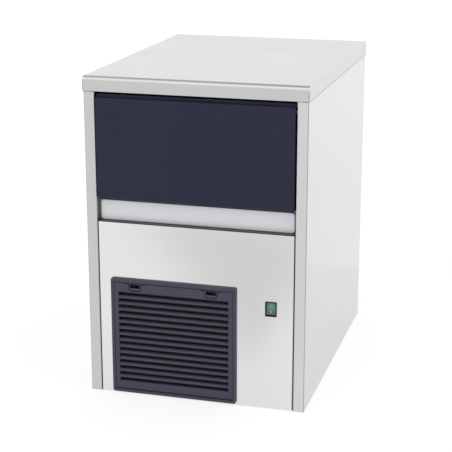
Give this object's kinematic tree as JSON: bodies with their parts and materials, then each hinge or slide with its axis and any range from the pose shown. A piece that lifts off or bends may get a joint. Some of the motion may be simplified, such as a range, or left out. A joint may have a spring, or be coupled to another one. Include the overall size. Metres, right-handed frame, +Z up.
{
  "type": "flake ice machine",
  "caption": "Under-counter flake ice machine: stainless cabinet, retracting plastic door over an insulated bin, tilting louvre grille, auger evaporator and cooling unit inside.",
  "frame": {"origin": "middle of the underside of the base, on the floor", "axes": "+X to the machine's right as seen from the front, +Y to the rear, +Z up"},
  "size_m": [0.4526, 0.638, 0.657],
  "materials": {
    "stainless": "brushed",
    "galvanised": "dull zinc",
    "screw_steel": "bright",
    "door_plastic": "satin",
    "grille_plastic": "satin",
    "door_cover": "satin",
    "strip_metal": "satin",
    "black_plastic": "satin",
    "rocker_plastic": "glossy, translucent",
    "filter_mesh": "woven",
    "liner_plastic": "smooth",
    "foam": "cellular",
    "rubber": "matt",
    "copper": "bright",
    "fin_metal": "mill",
    "cast_metal": "cast",
    "black_paint": "gloss",
    "clear_plastic": "translucent",
    "brass": "turned",
    "board": "laminate"
  },
  "bodies": {
    "cabinet": {"base_pan": "galvanised", "left_side_panel": "stainless", "right_side_panel": "stainless", "rear_panel": "galvanised", "top_cover": "stainless", "top_insulation": "foam", "front_panel": "stainless", "front_crossbar": "galvanised", "name_strip": "strip_metal", "casing_screws": "screw_steel", "grille_frame": "grille_plastic", "switch_housing": "black_plastic", "door_guides": "black_plastic", "bin_shelf": "galvanised", "bin_liner": "liner_plastic", "bin_insulation": "foam", "bin_drain": "liner_plastic", "drain_hose": "rubber", "drain_outlet": "black_plastic", "bin_sensor": "stainless", "condenser_fins": "fin_metal", "condenser_tubes": "copper", "fan_shroud": "galvanised", "fan_bracket": "galvanised", "fan_motor": "black_plastic", "compressor": "black_paint", "compressor_mounts": "rubber", "filter_drier": "copper", "condenser_pipes": "copper", "capillary_pipe": "copper", "suction_pipe": "copper", "drive_stand": "galvanised", "drive_motor": "cast_metal", "gearbox": "cast_metal", "lower_housing": "cast_metal", "evaporator_tube": "stainless", "refrigerant_jacket": "copper", "evaporator_insulation": "rubber", "breaker_head": "cast_metal", "ice_chute": "black_plastic", "tank_bracket": "galvanised", "water_tank": "clear_plastic", "float_valve": "brass", "inlet_valve": "clear_plastic", "water_hoses": "clear_plastic", "cable_gland": "black_plastic", "control_box": "galvanised", "control_cover": "galvanised", "control_board": "board"},
    "door_carriage": {"door_runners": "black_plastic"},
    "door": {"door_outer": "door_plastic", "door_inner": "door_cover", "door_pins": "stainless"},
    "grille": {"grille_louvre": "grille_plastic", "air_filter": "filter_mesh"},
    "rocker": {"switch_rocker": "rocker_plastic"},
    "fan": {"fan_blade": "black_plastic"},
    "auger": {"auger_shaft": "stainless", "auger_flight": "stainless"},
    "float": {"float_arm": "clear_plastic"}
  },
  "joints": [
    {"name": "door_slide", "type": "slide", "parent": "cabinet", "child": "door_carriage", "axis": [0, 1, 0], "range_m": [0, 0.175]},
    {"name": "door_tilt", "type": "hinge", "parent": "door_carriage", "child": "door", "pos_m": [0, -0.2965, 0.606], "axis": [-1, 0, 0], "range_deg": [0, 90]},
    {"name": "grille_tilt", "type": "hinge", "parent": "cabinet", "child": "grille", "pos_m": [-0.045, -0.3088, 0.016], "axis": [1, 0, 0], "range_deg": [0, 70]},
    {"name": "switch_rock", "type": "hinge", "parent": "cabinet", "child": "rocker", "pos_m": [0.156, -0.3005, 0.2118], "axis": [1, 0, 0], "range_deg": [0, 14]},
    {"name": "fan_spin", "type": "hinge", "parent": "cabinet", "child": "fan", "pos_m": [-0.045, -0.1915, 0.125], "axis": [0, 1, 0], "continuous": true},
    {"name": "auger_spin", "type": "hinge", "parent": "cabinet", "child": "auger", "pos_m": [-0.06, 0.1985, 0.35], "axis": [0, 0, 1], "continuous": true},
    {"name": "float_swing", "type": "hinge", "parent": "cabinet", "child": "float", "pos_m": [0.134, 0.191, 0.455], "axis": [-1, 0, 0], "range_deg": [0, 25]}
  ],
  "couplings": [
    {"joint": "door_slide", "follows": "door_tilt", "m_per_rad": 0.1114}
  ]
}
